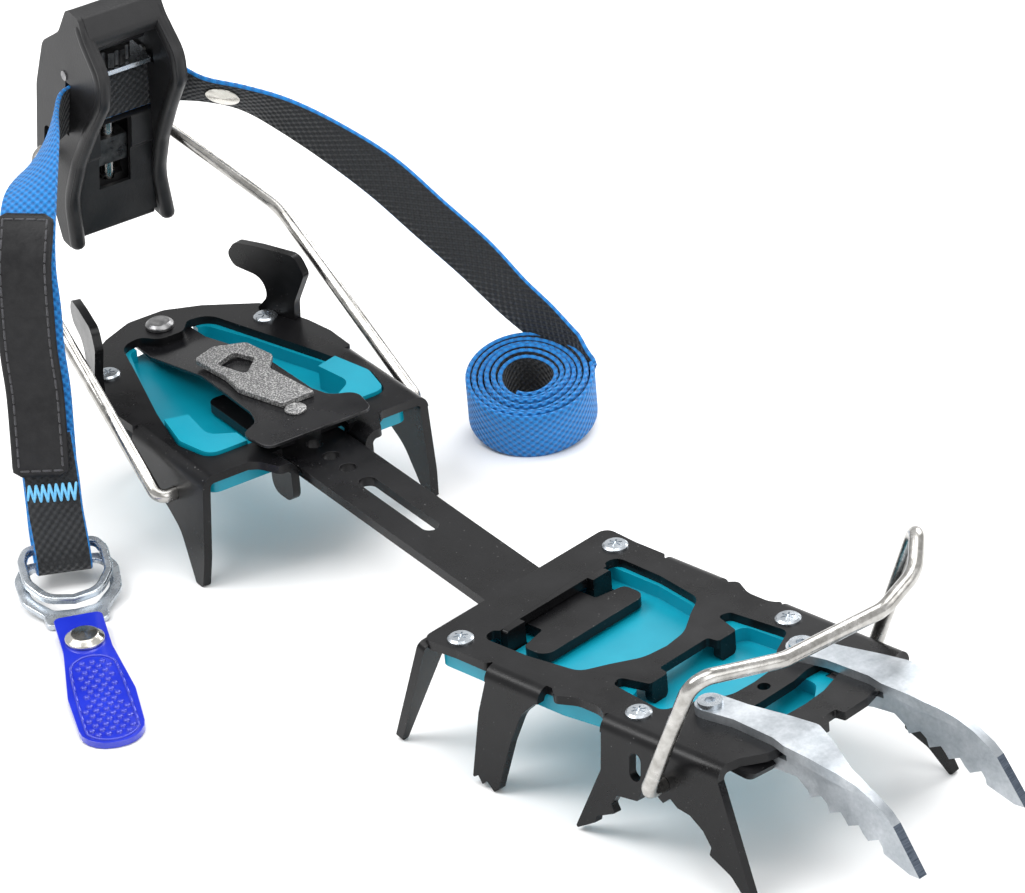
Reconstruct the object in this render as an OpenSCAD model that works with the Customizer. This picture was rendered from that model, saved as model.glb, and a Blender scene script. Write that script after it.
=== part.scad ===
// Adjustable crampon for the right boot: heel and front frames of folded
// steel sheet, a perforated linking bar, wire bails, a heel lever and a strap.
// +X points to the toe, +Y to the inner side of the foot, +Z up, ground at z = 0.

/* [Platform] */
// Height of the boot platform above the ground
platform_h = 36; // [34:1:40]
// Thickness of the frame sheet
sheet = 2.6; // [2.2:0.2:2.8]
// Half width of the heel frame over its flanges
heel_half = 38; // [36:1:40]
// Half width of the front frame over its flanges
front_half = 38; // [36:1:40]
// Outer radius of the sheet bends
bend_r = 4; // [3.5:0.5:5]

/* [Linking bar] */
// Width of the linking bar
bar_w = 21; // [19:1:22]
// Thickness of the linking bar
bar_t = 3; // [2.6:0.2:3.2]
// Pitch of the length adjustment holes
hole_pitch = 9; // [8:0.5:9]
// Radius of the adjustment holes
hole_r = 2.5; // [2.4:0.1:2.6]
// Distance from the heel frame's front edge to the front frame's rear edge
frame_gap = 108; // [100:1:116]
// Turn of the front frame towards the inner side, in degrees
front_yaw = 13; // [8:1:14]

/* [Bails] */
// Radius of the toe bail's wire
toe_wire_r = 2.15; // [2:0.05:2.3]
// Radius of the heel bail's wire
heel_wire_r = 2; // [1.8:0.05:2.1]
// Radial clearance of a wire end in its hole
wire_gap = 0.08; // [0.04:0.01:0.1]

/* [Heel lever] */
// Forward lean of the lever, in degrees
lever_lean = 10; // [8:1:12]
// Length of the lever
lever_len = 80; // [78:1:82]

/* [Strap] */
// Width of the webbing
strap_w = 16; // [14:1:18]
// Thickness of the webbing
strap_t = 1.4; // [1.2:0.1:1.6]
// Outer radius of the rolled up end
roll_r = 19.8; // [18.6:0.2:20.4]

/* [Hidden] */
$fn = 40;

// Place of the row's origin: the middle of the rigid crampon's footprint
origin_x = 75.614;
origin_y = 10.8;
// Underside of the frame sheet
sheet_z = platform_h - sheet;
// Running gap between plates that slide on each other
slip = 0.3;
// Top and middle height of the linking bar
bar_top = sheet_z - slip;
bar_z = bar_top - bar_t;
// Sideways place of the front frame's rear edge
front_shift = -1.5;

// ---------- outlines ----------
function unit(v) = v / norm(v);
function turn_of(a, b) = a.x * b.y - a.y * b.x;
function arc_corner(p, q, s, r, n) =
    let (u = unit(p - q), v = unit(s - q), half = acos(u * v) / 2,
         c = q + unit(u + v) * r / sin(half), t = q + u * r / tan(half),
         a = atan2(t.y - c.y, t.x - c.x), sweep = (turn_of(u, v) > 0 ? -1 : 1) * (180 - 2 * half))
    [for (i = [0:n]) c + r * [cos(a + sweep * i / n), sin(a + sweep * i / n)]];
function flat2(p) = [p.x, p.y];
// Closed outline from corners given as [x, y, corner radius]
function rounded(pts, n = 5) =
    [for (i = [0:len(pts) - 1])
        let (p = pts[(i + len(pts) - 1) % len(pts)], q = pts[i], s = pts[(i + 1) % len(pts)])
        each (q[2] > 0 && abs(turn_of(unit(flat2(p - q)), unit(flat2(s - q)))) > 0.02
            ? arc_corner(flat2(p), flat2(q), flat2(s), q[2], n) : [flat2(q)])];
// A half outline given for y > 0 and its mirror image
function both_sides(pts) =
    concat(pts, [for (i = [len(pts) - 1:-1:0]) if (abs(pts[i].y) > 0.01) [pts[i].x, -pts[i].y, pts[i][2]]]);

module plate(pts, z, h) {
    translate([0, 0, z])
        linear_extrude(h)
            polygon(rounded(pts));
}

// A wall drawn in the XZ plane, thick along +Y from y
module wall(pts, y, thick) {
    translate([0, y + thick, 0])
        rotate([90, 0, 0])
            linear_extrude(thick)
                polygon(rounded(pts));
}

// A wall drawn in the YZ plane, thick along +X from x
module cross_wall(pts, x, thick) {
    translate([x, 0, 0])
        rotate([90, 0, 90])
            linear_extrude(thick)
                polygon(rounded(pts));
}

// Quarter bend of the sheet along X, turning from the top face down at +Y
module side_bend(x0, x1, y_out, z_top) {
    translate([x0, y_out - bend_r, z_top - bend_r])
        rotate([90, 0, 90])
            linear_extrude(x1 - x0)
                intersection() {
                    difference() {
                        circle(bend_r);
                        circle(bend_r - sheet);
                    }
                    square(bend_r);
                }
}

module mirrored() {
    children();
    mirror([0, 1, 0])
        children();
}

// Path through points with every inner corner turned into a smooth bend of the given reach
function bent_path(pts, reach, n = 4) =
    concat([pts[0]],
        [for (i = [1:len(pts) - 2])
            let (q = pts[i], a = q + unit(pts[i - 1] - q) * reach, b = q + unit(pts[i + 1] - q) * reach)
            each [for (k = [0:n]) let (s = k / n) a * (1 - s) * (1 - s) + q * 2 * s * (1 - s) + b * s * s]],
        [pts[len(pts) - 1]]);

// Triangles that close a sweep of count rings with a number of sides
function skin_faces(count, sides) =
    concat([[for (k = [0:sides - 1]) k]],
        [for (i = [0:count - 2], k = [0:sides - 1])
            let (a = sides * i + k, b = sides * i + (k + 1) % sides, c = a + sides, d = b + sides)
            each [[a, c, d], [a, d, b]]],
        [[for (k = [sides - 1:-1:0]) sides * (count - 1) + k]]);

// Round wire swept along a path, with its rings turned by a fixed side direction
module wire(path, r, side, sides = 12) {
    count = len(path);
    polyhedron(
        points = [for (i = [0:count - 1])
            let (d = unit(path[min(i + 1, count - 1)] - path[max(i - 1, 0)]),
                 u = unit(side - d * (side * d)), v = cross(d, u))
            each [for (k = [0:sides - 1]) path[i] + r * (u * cos(360 * k / sides) + v * sin(360 * k / sides))]],
        faces = skin_faces(count, sides));
}

// Round end of a wire, seated in its hole and drawn a hair over the swept wire
module wire_end(y_in, y_out, x, z, r) {
    translate([x, min(y_in, y_out), z])
        rotate([-90, 0, 0])
            cylinder(h = abs(y_out - y_in), r = r + 0.02);
}

// Everything is drawn in the heel frame's own place and moved to the row's origin
module placed() {
    translate([-origin_x, -origin_y, 0])
        children();
}

// The front frame's own place: x = 0 at its rear edge
module front_placed() {
    placed()
        translate([frame_gap, front_shift, 0])
            rotate([0, 0, front_yaw])
                children();
}

// ---------- heel frame ----------
// Top of the splayed walls, just inside their bends
wall_top = platform_h - bend_r + 0.5;
wall_inset = 0.1;
heel_rear = -94.5;
flange_rear = -38;
heel_splay = 4;
bail_hole_x = -14;
bail_hole_z = 25;
rivet_x = -86;
plug_heel = [-70, 27];
lock_x = -8;
plug_r = 2.8;

heel_half_outline = [[2, 17, 0], [2, heel_half - bend_r, 0], [flange_rear, heel_half - bend_r, 0],
    [flange_rear, heel_half - 1, 1], [-50, heel_half - 0.6, 8], [-60, 35.9, 4], [-79, 30.45, 2],
    [-89.5, 16.5, 5], [heel_rear, 6, 6], [heel_rear, 0, 0]];
heel_window = both_sides([[-7, 6.5, 0], [-7, 30, 5], [-20, 33, 8], [-40, 28, 12], [-66, 20, 5],
    [-83, 15, 6], [-84, 8, 3], [-79, 4, 4]]);
heel_leg = [[1.8, wall_top, 0], [1, 10, 30], [-0.5, 0.1, 1.2], [-4.2, 0.1, 1.2],
    [-12, 14, 12], [-22, 20.5, 20], [flange_rear + 0.3, 21.5, 2], [flange_rear + 0.3, wall_top, 0]];
lug_wall = [[-1, platform_h - bend_r, 0], [-1, 22.5, 4], [10.5, 22.5, 4], [10.5, platform_h - bend_r, 0]];
// Line of the hooks along the plate's slanted edge
hook_foot = [-66, 34.1];
hook_turn = 16;

module heel_flange() {
    side_bend(flange_rear, 2, heel_half, platform_h);
    translate([0, heel_half, platform_h - bend_r])
        rotate([heel_splay, 0, 0])
            translate([0, -heel_half, bend_r - platform_h])
                wall(heel_leg, heel_half - sheet - wall_inset, sheet);
}

// Rear point folded down from the slanted rear corner
module heel_rear_leg() {
    translate([-84.3, 23.4, platform_h])
        rotate([0, 0, 56])
            rotate([-19, 0, 0])
                translate([0, -sheet, -platform_h])
                    wall([[-7, 35, 0], [-6.4, 24, 10], [-2.2, -1.6, 1.2], [2.2, -1.6, 1.2], [6.4, 24, 10], [7, 35, 0]],
                        0, sheet);
}

// Upright horn beside the boot's heel, with its flag towards the rear
module heel_hook() {
    translate([hook_foot.x, hook_foot.y, 0])
        rotate([0, 0, hook_turn])
            wall([[3, sheet_z + 0.3, 0], [3.6, 42, 6], [8.8, 52.5, 2.5], [5.6, 58, 4], [-9, 57.2, 6], [-19, 56, 3.5],
                [-22.4, 51.5, 2.5], [-20, 48, 3], [-8.5, 47, 5], [-7.2, 41, 4], [-11.5, 36.5, 0.5],
                [-11.5, sheet_z + 0.3, 0]], -sheet, sheet);
}

module guide_lug() {
    translate([0, 11.2, 0]) {
        wall(lug_wall, 0, sheet);
        translate([-1, bend_r, platform_h - bend_r])
            rotate([90, 0, 90])
                linear_extrude(11.5)
                    intersection() {
                        difference() {
                            circle(bend_r);
                            circle(bend_r - sheet);
                        }
                        translate([-bend_r, 0])
                            square(bend_r);
                    }
    }
    plate([[-1, 11.2 + bend_r, 0], [10.5, 11.2 + bend_r, 0], [10.5, 17, 2], [4, 20, 4], [1, 24, 0], [-1, 24, 0]],
        sheet_z, sheet);
}

module heel_frame() {
    color([0.09, 0.09, 0.10])
        placed()
            difference() {
                union() {
                    plate(both_sides(heel_half_outline), sheet_z, sheet);
                    mirrored() {
                        heel_flange();
                        heel_rear_leg();
                        heel_hook();
                        guide_lug();
                    }
                }
                plate(heel_window, sheet_z - 1, sheet + 2);
                translate([2, 0, platform_h])
                    cube([9, 2 * 11.2, 20], center = true);
                translate([lock_x, 0, sheet_z - 1])
                    cylinder(h = 5, r = 7);
                translate([rivet_x, 0, sheet_z - 1])
                    cylinder(h = 5, r = 2.6);
                mirrored() {
                    translate([plug_heel.x, plug_heel.y, sheet_z - 1])
                        cylinder(h = 5, r = plug_r);
                    translate([bail_hole_x, 0, bail_hole_z])
                        rotate([-90, 0, 0])
                            cylinder(h = 60, r = heel_wire_r + wire_gap);
                }
            }
}

// ---------- heel anti-balling plate ----------
tray_floor = bar_z - 2.6;
tray_t = 1.8;
heel_tray = both_sides([[-2, 0, 0], [-2, 33, 3], [-30, 33, 6], [-60, 30.5, 8], [-75.2, 26.6, 4],
    [-85, 11.6, 5], [-87, 0, 0]]);
heel_pocket = both_sides([[4, 0, 0], [4, 14.2, 0], [-8, 14.2, 3], [-9, 28, 4], [-22, 30.5, 6], [-40, 27, 12],
    [-66, 19, 5], [-82, 13, 3], [-83, 0, 0]]);
heel_ear = [[-7.4, 17, 0], [-7.4, 29.4, 4], [-20, 32, 6], [-34, 29, 0], [-32, 22, 0], [-18, 24, 5], [-13.4, 17, 0]];
module heel_antiball_plate() {
    color([0, 0.65, 0.75])
        placed()
            difference() {
                union() {
                    difference() {
                        plate(heel_tray, tray_floor, sheet_z - tray_floor);
                        plate(heel_pocket, tray_floor + tray_t, 20);
                    }
                    mirrored()
                        plate(heel_ear, tray_floor + 1, platform_h - tray_floor);
                }
                translate([lock_x, 0, tray_floor - 1])
                    cylinder(h = 5, r = 4);
                translate([-95, -10.5, tray_floor + tray_t])
                    cube([17, 21, 20]);
                mirrored()
                    translate([plug_heel.x, plug_heel.y, tray_floor - 1])
                        cylinder(h = 20, r = plug_r - 0.8);
            }
}

module plug(x, y) {
    translate([x, y, platform_h])
        difference() {
            union() {
                rotate_extrude()
                    polygon([[0, 0], [3.6, 0], [3.6, 0.5], [3, 1], [0, 1.2]]);
                translate([0, 0, -sheet])
                    cylinder(h = sheet, r = plug_r);
                translate([0, 0, -sheet - 6])
                    cylinder(h = 6, r = plug_r - 0.8);
            }
            for (a = [0:60:120])
                translate([0, 0, 1.2])
                    rotate([0, 0, a])
                        cube([4, 0.5, 1], center = true);
        }
}

module heel_plugs() {
    color([0.80, 0.83, 0.86])
        placed()
            mirrored()
                plug(plug_heel.x, plug_heel.y);
}

module spring_rivet() {
    color([0.35, 0.35, 0.36])
        placed()
            translate([rivet_x, 0, 0]) {
                translate([0, 0, platform_h])
                    rotate_extrude()
                        polygon(rounded([[0, 0, 0], [4.3, 0, 0.3], [4.3, 1.1, 0.6], [3.2, 2, 0.8], [0, 2.2, 0]]));
                translate([0, 0, sheet_z - 2])
                    cylinder(h = sheet + 2, r = 2.6);
                translate([0, 0, sheet_z - 3.5])
                    cylinder(h = 2, r = 3.6);
            }
}

// ---------- lock ----------
leaf_t = 1;
lock_rise = platform_h + 3.4;
leaf_rear = sheet_z - leaf_t;
leaf_line = [[-92, leaf_rear], [-76, leaf_rear], [-44, lock_rise], [5.5, lock_rise]];
leaf_side = concat(leaf_line, [for (i = [3:-1:0]) leaf_line[i] + [0, leaf_t]]);
leaf_plan = both_sides([[6, 0, 0], [5.5, 17.5, 3.5], [-6, 19.5, 4.5], [-9.5, 12.5, 5], [-16, 10.5, 6],
    [-78, 9.5, 1], [-92, 9, 4]]);

module lock_spring() {
    color([0.14, 0.14, 0.15])
        placed()
            difference() {
                intersection() {
                    translate([0, 30, 0])
                        rotate([90, 0, 0])
                            linear_extrude(60)
                                polygon(leaf_side);
                    plate(leaf_plan, 0, 60);
                }
                translate([rivet_x, 0, leaf_rear - 1])
                    cylinder(h = 3, r = 2.8);
                translate([lock_x, 0, lock_rise - 1])
                    cylinder(h = 3, r = 2);
            }
}

module lock_tab() {
    color([0.45, 0.45, 0.45])
        placed()
            translate([-11.4, 0, lock_rise + leaf_t])
                difference() {
                    plate([[0, 8.5, 0.5], [0, -2.5, 0.5], [-16, -7.5, 2], [-25, -6.5, 2], [-40, -8, 2],
                        [-43, 0, 2], [-39, 9, 2.5], [-27, 11, 2.5], [-21, 6, 4]], 0, 1.8);
                    plate([[-22, -1, 1], [-33, -4.5, 1], [-36, 3, 1], [-29, 6, 1]], -1, 4);
                }
}

module lock_pin() {
    color([0.45, 0.45, 0.45])
        placed()
            translate([lock_x, 0, 0]) {
                translate([0, 0, lock_rise + leaf_t])
                    rotate_extrude()
                        polygon(rounded([[0, 0, 0], [3.2, 0, 0.2], [3.2, 0.8, 0.4], [0, 1.1, 0]]));
                translate([0, 0, bar_top + 0.5])
                    cylinder(h = lock_rise + leaf_t - bar_top - 0.5, r = 2);
            }
}

module lock_collar() {
    color([0.6, 0.6, 0.6])
        placed()
            translate([lock_x, 0, 0])
                for (i = [0:2])
                    translate([0, 0, lock_rise - 1.1 * (i + 1)])
                        rotate_extrude()
                            polygon(rounded([[2, 0, 0], [5.4 - 0.3 * i, 0, 0.3], [5.4 - 0.3 * i, 1.1, 0.3], [2, 1.1, 0]]));
}

// ---------- linking bar ----------
bar_rear = -42;
slot_x = [27, 65];
slot_half = 2.6;
head_x = [21.5, 30];
// A point of the front frame, as [x, y, corner radius], in the heel frame's place
function from_front(p) = [frame_gap + p.x * cos(front_yaw) - p.y * sin(front_yaw),
    front_shift + p.x * sin(front_yaw) + p.y * cos(front_yaw), p[2]];
// Where the bar's edge on side s bends into the front frame's direction
function bend_at(s) = (s * bar_w / 2 * (1 - cos(front_yaw)) - front_shift) / sin(front_yaw);
head_side = [[head_x[0] - 1.5, bar_w / 2, 1], [head_x[0], 18, 0], [head_x[0], 20, 2], [head_x[1], 20, 3.5]];
bar_outline = concat([[bar_rear, bar_w / 2, 3], from_front([bend_at(1), bar_w / 2, 0])],
    [for (p = head_side) from_front(p)],
    [for (i = [3:-1:0]) from_front([head_side[i].x, -head_side[i].y, head_side[i][2]])],
    [from_front([bend_at(-1), -bar_w / 2, 0]), [bar_rear, -bar_w / 2, 3]]);
module linking_bar() {
    color([0.10, 0.10, 0.11])
        placed()
            difference() {
                plate(bar_outline, bar_z, bar_t);
                for (i = [-3:3])
                    translate([lock_x + hole_pitch * i, 0, bar_z - 1])
                        cylinder(h = bar_t + 2, r = hole_r);
                hull()
                    for (x = [slot_x[0] + slot_half, slot_x[1] - slot_half])
                        translate([x, 0, bar_z - 1])
                            cylinder(h = bar_t + 2, r = slot_half, $fn = 32);
            }
}

// ---------- front frame ----------
point_bolt = [88, 18];
plug_rear = [9, 30.5];
plug_fore = [73, 29.5];
toe_hole_x = 89;
toe_hole_z = 25;
front_splay = 6;
front_half_outline = [[0, 0, 0], [0, 36.5, 3], [12, 35.5, 8], [23, 35.5, 1.5], [24, 34, 0], [46, 34, 0],
    [49, 36.5, 2], [55, 33.5, 8], [63, 33.5, 6], [66.5, 36, 1], [66.5, 34, 0], [108, 34, 0],
    [109, 30, 1], [113, 24, 3], [116, 12, 6], [116, 3, 0.5], [113, 2.5, 0.5], [113, 0, 0]];
window_rear = both_sides([[14.5, 21, 0.5], [13, 22, 1], [12.5, 26.5, 3], [30, 26, 9], [46, 23.5, 5],
    [50, 16, 8], [55, 8, 12], [56, 0, 0]]);
window_mid = both_sides([[62, 0, 0], [62, 9.5, 1], [65.5, 10, 1], [65.5, 17, 1], [56.5, 19.5, 1.5], [58, 23, 1.5],
    [77, 25, 3], [81, 16, 3], [86.5, 8, 8], [87, 0, 0]]);
window_fore = both_sides([[95, 0, 0], [95, 7, 3], [94, 13, 3], [94.4, 18.2, 0.6], [101.6, 18.2, 0.6],
    [104.5, 8, 6], [105, 0, 0]]);
leg2 = [[43.7, wall_top, 0], [38, 27, 8], [34, 17, 8], [29.6, 1.5, 0.5], [28, 0, 0.4], [25.2, 2.4, 0.3],
    [23.6, 0.8, 0.3], [22, 3, 0.3], [20, 1.6, 0.4], [22.2, 22, 12], [24.8, wall_top, 0]];
leg3 = [[66.8, wall_top, 0], [66.8, 21, 2], [57.6, 0.2, 0.5], [65, 4.6, 0.4], [65.3, 6.6, 0.4],
    [72, 9.8, 0.4], [70.6, 12, 0.8], [72.6, 15.4, 1.5], [80, 16.4, 0.6], [81.4, 19.6, 0.3], [83.6, 18.6, 0.3],
    [86.4, 20.8, 0.3], [89, 19.2, 0.3], [91.4, 21.4, 0.3], [94, 19.6, 0.3], [98.5, 19, 1], [103, 16.2, 1],
    [106, 12.4, 0.6], [105.4, 10, 0.5], [113, 6.6, 6], [119.6, 0, 0.7], [121, 0.8, 0.5],
    [107.7, wall_top, 0]];

module front_leg1() {
    translate([0, 0, platform_h])
        rotate([0, 20, 0])
            translate([0, 0, -platform_h])
                cross_wall([[27.5, platform_h - 1, 0], [35.2, -1.3, 0.8], [37.6, -1.3, 0.8], [37.6, platform_h - 1, 2]],
                    0, sheet);
}

module front_side_wall(pts, x0, x1) {
    side_bend(x0, x1, front_half, platform_h);
    translate([0, front_half, platform_h - bend_r])
        rotate([front_splay, 0, 0])
            translate([0, -front_half, bend_r - platform_h])
                wall(pts, front_half - sheet - wall_inset, sheet);
}

// Finger folded down in front of the rear strip, beside the bar's tongue
module strip_finger() {
    translate([14, 0, 0])
        cross_wall([[13.5, platform_h, 0], [20.5, platform_h, 1], [20.5, 24, 2.5], [13.5, 24, 2.5]], 0, sheet);
}

// Small tab folded down from the first strut
module strut_tab() {
    translate([63, 0, 0])
        cross_wall([[10.5, platform_h, 1], [16.5, platform_h, 1], [16.5, 29, 2], [10.5, 29, 2]], 0, sheet);
}

// Wing folded down under the front point
module front_wing() {
    translate([104, 24, platform_h - sheet])
        rotate([0, 32, 0])
            plate([[-0.4, -9, 0], [9, -7, 3], [8, 5, 3], [-0.4, 9, 0]], 0, sheet);
}

module front_frame() {
    color([0.09, 0.09, 0.10])
        front_placed()
            difference() {
                union() {
                    difference() {
                        plate(both_sides(front_half_outline), sheet_z, sheet);
                        plate(window_rear, sheet_z - 1, sheet + 2);
                        plate(window_mid, sheet_z - 1, sheet + 2);
                        plate(window_fore, sheet_z - 1, sheet + 2);
                    }
                    mirrored() {
                        front_side_wall(leg2, 24.5, 44);
                        front_side_wall(leg3, 66.5, 108);
                        front_leg1();
                        strip_finger();
                        strut_tab();
                        front_wing();
                    }
                }
                for (side = [-1, 1])
                    web_slot(side);
                translate([90.5, 0, sheet_z - 1])
                    cylinder(h = 5, r = 1.8);
                mirrored() {
                    translate([plug_rear.x, plug_rear.y, sheet_z - 1])
                        cylinder(h = 5, r = plug_r);
                    translate([plug_fore.x, plug_fore.y, sheet_z - 1])
                        cylinder(h = 5, r = plug_r);
                    translate([point_bolt.x, point_bolt.y, sheet_z - 1])
                        cylinder(h = 5, r = 2.6);
                    translate([toe_hole_x, 20, toe_hole_z])
                        rotate([-90, 0, 0])
                            cylinder(h = 60, r = toe_wire_r + wire_gap);
                    translate([79, 20, 26])
                        rotate([-90, 0, 0])
                            hull()
                                for (s = [-2, 2])
                                    translate([0, s, 0])
                                        cylinder(h = 60, r = 2, $fn = 32);
                }
            }
}

// ---------- front anti-balling plate ----------
front_tray = both_sides([[2.8, 0, 0], [2.8, 33, 3], [48, 32.6, 5], [60, 31, 5], [101, 29, 5], [103, 20, 4], [106, 8, 6],
    [106.4, 0, 0]]);
front_pocket = both_sides([[0, 0, 0], [0, 13.6, 0], [9.5, 13.6, 2], [10.5, 25, 3], [30, 25, 6], [46, 22.5, 5],
    [49, 17, 3], [62, 17.4, 3], [63, 23, 3], [78, 24, 4], [82, 12.4, 4], [98, 12.4, 4], [102.6, 6, 4], [103, 0, 0]]);
module front_antiball_plate() {
    color([0, 0.65, 0.75])
        front_placed()
            difference() {
                plate(front_tray, tray_floor, sheet_z - tray_floor);
                plate(front_pocket, tray_floor + tray_t, 20);
                for (side = [-1, 1])
                    web_slot(side);
                mirrored() {
                    translate([plug_rear.x, plug_rear.y, tray_floor - 1])
                        cylinder(h = 20, r = plug_r - 0.8);
                    translate([plug_fore.x, plug_fore.y, tray_floor - 1])
                        cylinder(h = 20, r = plug_r - 0.8);
                    translate([point_bolt.x, point_bolt.y, tray_floor - 1])
                        cylinder(h = 20, r = 5.4);
                    translate([13.6, 13.2, tray_floor - 1])
                        cube([3.4, 8, 20]);
                }
            }
}

module front_plugs() {
    color([0.80, 0.83, 0.86])
        front_placed()
            mirrored() {
                plug(plug_rear.x, plug_rear.y);
                plug(plug_fore.x, plug_fore.y);
            }
}

// ---------- front points ----------
point_top = platform_h + 2.6;
// Outward turn of each point about its bolt, in degrees
point_turn = 2.25;
web_side = [-1.6, 1.2];
slot_rear = 97;
top_line = [[81, 0], [117, 0], [126, -0.5], [135, -1.6], [140, -2.8], [146, -5], [151, -8], [153.6, -10.4], [162, -22.7]];
tooth_line = [[158.6, 15.7], [149.8, 18.5], [149.4, 20.4], [148.2, 22.1], [144.4, 20.2], [142.8, 21.6],
    [141.3, 23.7], [137.6, 22], [136.6, 23.4], [135.1, 25.1], [131.2, 23.3], [130.4, 25.8], [128.4, 27.3],
    [124.5, 25.2], [123.7, 27.2], [120, 29.8], [113, 29.3], [106, 27.7], [101, 25.1], [100, 27.2],
    [slot_rear + 0.3, 28.6]];
// The web's rear part reaches back under the frame sheet
point_web = concat([[116.6, point_top, 0]], [for (p = top_line) if (p.x > 118) [p.x, p.y + point_top, 0]],
    [for (p = tooth_line) [p.x, p.y, 0]], [[slot_rear + 0.3, sheet_z - 0.2, 0], [116.6, sheet_z - 0.2, 0]]);
top_band = concat([for (p = top_line) if (p.x < 155) [p.x, p.y + point_top, 0]],
    [[151, point_top - 11.4, 0], [146, point_top - 8, 0], [140, point_top - 5.6, 0], [117, point_top - 2.6, 0],
        [81, point_top - 2.6, 0]]);
flange_plan = [[83.4, -4.6, 4], [83.4, 4.6, 4], [96, 6.2, 8], [108, 9, 10], [117, 10.6, 4], [124, 8, 8],
    [136, 2.4, 10], [144, web_side[1], 4], [156, web_side[1], 0], [156, web_side[0], 0], [141, web_side[0], 3],
    [131, -2.4, 5], [117, -2.8, 3], [112, web_side[0], 4], [98, web_side[0], 6]];

module point_placed(side) {
    translate([point_bolt.x, side * point_bolt.y, 0])
        rotate([0, 0, side * point_turn])
            translate([-point_bolt.x, 0, 0])
                children();
}

// Room for a point's web under the frame sheet, open at the front edge
module web_slot(side) {
    point_placed(side)
        translate([slot_rear, web_side[0] - 0.1, 0])
            cube([30, web_side[1] - web_side[0] + 0.2, sheet_z + 0.3]);
}

// The web hangs under one edge of the top flange, which narrows to the tip
module front_point(side) {
    color([0.74, 0.76, 0.79])
        front_placed()
            point_placed(side)
                difference() {
                    union() {
                        wall(point_web, web_side[0], web_side[1] - web_side[0]);
                        intersection() {
                            wall(top_band, -10, 24);
                            plate(flange_plan, 0, 60);
                        }
                    }
                    translate([point_bolt.x, 0, platform_h - 1])
                        cylinder(h = 6, r = 2.6);
                }
}

module front_point_left() {
    front_point(1);
}

module front_point_right() {
    front_point(-1);
}

module point_bolts() {
    color([0.7, 0.72, 0.74])
        front_placed()
            mirrored()
                translate([point_bolt.x, point_bolt.y, 0])
                    difference() {
                        union() {
                            translate([0, 0, point_top])
                                cylinder(h = 1.4, r = 3.4);
                            translate([0, 0, tray_floor + 0.5])
                                cylinder(h = point_top - tray_floor - 0.5, r = 2.5);
                        }
                        translate([0, 0, point_top + 0.2])
                            cylinder(h = 3, r = 1.6, $fn = 6);
                    }
}

module point_nuts() {
    color([0.7, 0.72, 0.74])
        front_placed()
            mirrored()
                translate([point_bolt.x, point_bolt.y, sheet_z - 4])
                    difference() {
                        cylinder(h = 4, r = 4.6, $fn = 6);
                        translate([0, 0, -1])
                            cylinder(h = 6, r = 2.52);
                    }
}

// ---------- bails ----------
toe_y = front_half + 5;
seat_in = 6;
toe_points = [[toe_hole_x, -toe_y + 3.5, toe_hole_z], [toe_hole_x, -toe_y - 2, toe_hole_z], [106.5, -toe_y, 65],
    [114, -17, 61], [116, 20, 59], [116, 33, 64], [108, toe_y + 1, 71], [toe_hole_x, toe_y + 2, toe_hole_z],
    [toe_hole_x, toe_y - 3.5, toe_hole_z]];
module toe_bail() {
    color([0.82, 0.82, 0.83])
        front_placed() {
            wire(bent_path(toe_points, 4.6), toe_wire_r, [0.91, 0, -0.41]);
            mirrored()
                wire_end(front_half - seat_in, toe_y - 2.7, toe_hole_x, toe_hole_z, toe_wire_r);
        }
}

heel_wire_y = heel_half + 5;
bail_bend = [-80, 41, 64];
bail_cross = [-113, 19.3, 90];
heel_points_half = [[bail_hole_x, heel_wire_y - 3.5, bail_hole_z], [bail_hole_x, heel_wire_y + 1, bail_hole_z],
    bail_bend, bail_cross];
module heel_bail() {
    color([0.82, 0.82, 0.83])
        placed() {
            for (s = [-1, 1])
                wire(concat(bent_path([for (p = concat(heel_points_half, [[bail_cross.x, 12, bail_cross.z]]))
                    [p.x, s * p.y, p.z]], 3.5)), heel_wire_r, [0.51, 0, 0.86]);
            mirrored()
                wire_end(heel_half - seat_in, heel_wire_y - 2.7, bail_hole_x, bail_hole_z, heel_wire_r);
            wire_end(-13, 13, bail_cross.x, bail_cross.z, heel_wire_r);
        }
}

// ---------- heel lever ----------
// Drawn upright with its foot at z = 0 and the channel open towards +X
lever_foot = [-102, 61];
lever_edge = [[1, 0, 2.5], [-3, 15, 16], [1, 30, 14], [7, 44, 12], [14, 58, 8], [13, 67, 8],
    [3, 75, 8], [0, 80, 3]];
lever_back = [[-7, 80, 3], [-11, 70, 6], [-20, 62, 6], [-23, 46, 14], [-22, 22, 8], [-14, 12, 8], [-6, 0, 2]];
flare = 2.6;
lever_wall_y = 12;
lever_wall_t = 3.4;
web_x = -14;
web_t = 2.4;
// Travel of the adjuster each way, and the window that it needs
adjust_travel = 6;
block_z = [22, 31];
screw_x = -9;
screw_r = 2.2;
wheel_z = 58.5;
wheel_r = 7.5;
strap_x = -5;
strap_z = 47;

// Crossbar of the heel bail in the lever's own coordinates
bar_dx = bail_cross.x - lever_foot.x;
bar_dz = bail_cross.z - lever_foot.y;
cross_x = bar_dx * cos(lever_lean) - bar_dz * sin(lever_lean);
cross_z = bar_dx * sin(lever_lean) + bar_dz * cos(lever_lean);

module lever_placed() {
    placed()
        translate([lever_foot.x, 0, lever_foot.y])
            rotate([0, lever_lean, 0])
                children();
}

module lever_side() {
    translate([0, lever_wall_y, 40])
        rotate([flare, 0, 0])
            translate([0, 0, -40])
                wall(concat(lever_edge, lever_back), 0, lever_wall_t);
}

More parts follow.
